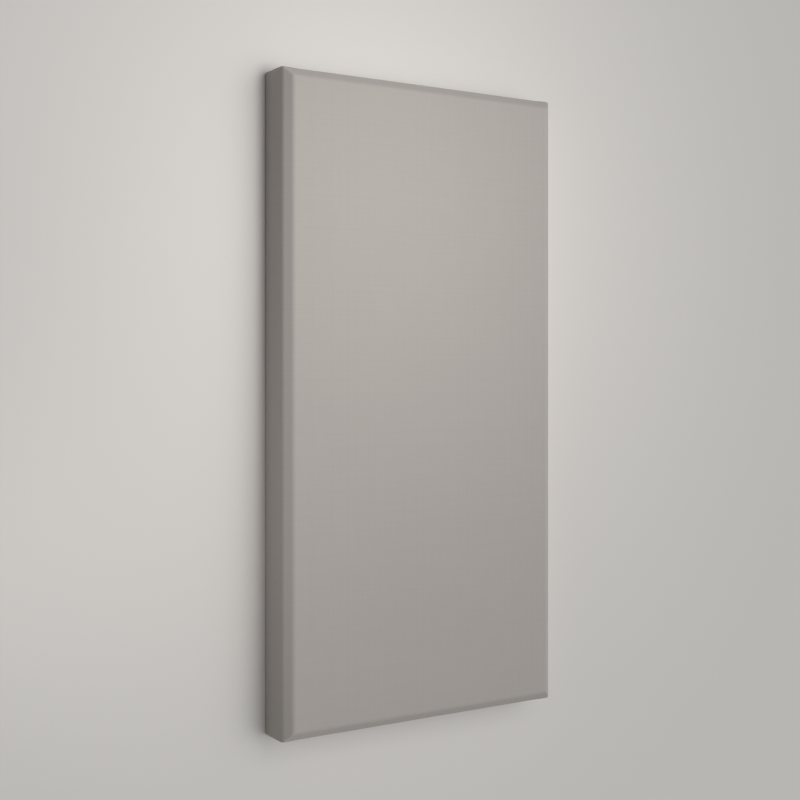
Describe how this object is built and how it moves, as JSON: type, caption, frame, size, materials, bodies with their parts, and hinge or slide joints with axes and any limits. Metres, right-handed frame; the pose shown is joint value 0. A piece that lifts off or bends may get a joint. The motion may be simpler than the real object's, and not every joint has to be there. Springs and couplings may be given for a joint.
{
  "type": "fabric acoustic wall panel",
  "caption": "Rectangular sound-absorbing wall panel with a bevel all round its face, wrapped in plain pale cloth that is turned onto the back with mitred corners.",
  "frame": {"origin": "middle of the back, on the plane that the border of turned cloth rests on", "axes": "+X across the width, +Y along the length towards the end that is uppermost in the picture, +Z out of the bevelled face"},
  "size_m": [0.6, 1.2, 0.082],
  "materials": {
    "cloth": "fine plain-weave polyester cloth, matt, warm light grey",
    "glass_wool": "yellow resin-bonded glass wool, sawn",
    "tissue": "off-white non-woven glass tissue, matt"
  },
  "bodies": {
    "root": {"cloth_wrap": "cloth", "core_board": "glass_wool", "back_tissue": "tissue"}
  },
  "joints": []
}
